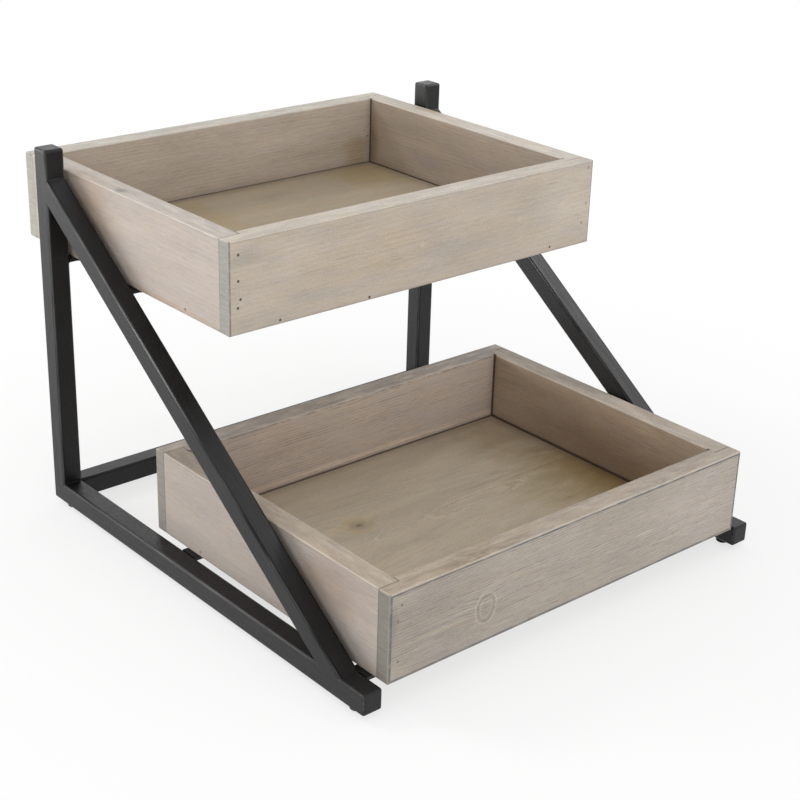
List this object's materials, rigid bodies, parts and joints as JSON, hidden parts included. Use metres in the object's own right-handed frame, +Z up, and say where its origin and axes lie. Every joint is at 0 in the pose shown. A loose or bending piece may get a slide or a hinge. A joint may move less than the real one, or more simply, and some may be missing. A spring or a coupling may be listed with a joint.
{
  "type": "tiered display stand",
  "caption": "Tabletop stand with open wooden trays stepped one above and behind the other on a welded frame of black square tube with slanted side braces.",
  "frame": {"origin": "on the table, under the middle of the stand's box", "axes": "+X to the right of someone facing the stand, +Y to the back, +Z up"},
  "size_m": [0.36, 0.411, 0.272],
  "materials": {
    "frame_coat": "black powder coat, semi-gloss, finely pebbled",
    "foot_rubber": "black rubber, matt",
    "screw_steel": "black oxide steel",
    "upper_tray_wood": "pale softwood with a thin weathered grey wash, rubbed bare in places",
    "upper_floor_wood": "softwood panel with a thin weathered wash",
    "lower_tray_wood": "softwood with a thin weathered grey wash",
    "lower_floor_wood": "softwood panel with a thin weathered wash"
  },
  "bodies": {
    "root": {"left_base_rail": "frame_coat", "left_post": "frame_coat", "left_diagonal": "frame_coat", "left_post_end_plate": "frame_coat", "left_rail_end_plate": "frame_coat", "left_front_foot": "foot_rubber", "left_rear_foot": "foot_rubber", "right_base_rail": "frame_coat", "right_post": "frame_coat", "right_diagonal": "frame_coat", "right_post_end_plate": "frame_coat", "right_rail_end_plate": "frame_coat", "right_front_foot": "foot_rubber", "right_rear_foot": "foot_rubber", "rear_cross_rail": "frame_coat", "lower_front_strap": "frame_coat", "lower_front_left_screw": "screw_steel", "lower_front_right_screw": "screw_steel", "lower_rear_strap": "frame_coat", "lower_rear_left_screw": "screw_steel", "lower_rear_right_screw": "screw_steel", "upper_front_strap": "frame_coat", "upper_front_left_screw": "screw_steel", "upper_front_right_screw": "screw_steel", "upper_rear_strap": "frame_coat", "upper_rear_left_screw": "screw_steel", "upper_rear_right_screw": "screw_steel", "lower_tray_front_board": "lower_tray_wood", "lower_tray_back_board": "lower_tray_wood", "lower_tray_left_board": "lower_tray_wood", "lower_tray_right_board": "lower_tray_wood", "lower_tray_floor_panel": "lower_floor_wood", "upper_tray_front_board": "upper_tray_wood", "upper_tray_back_board": "upper_tray_wood", "upper_tray_left_board": "upper_tray_wood", "upper_tray_right_board": "upper_tray_wood", "upper_tray_floor_panel": "upper_floor_wood"}
  },
  "joints": []
}
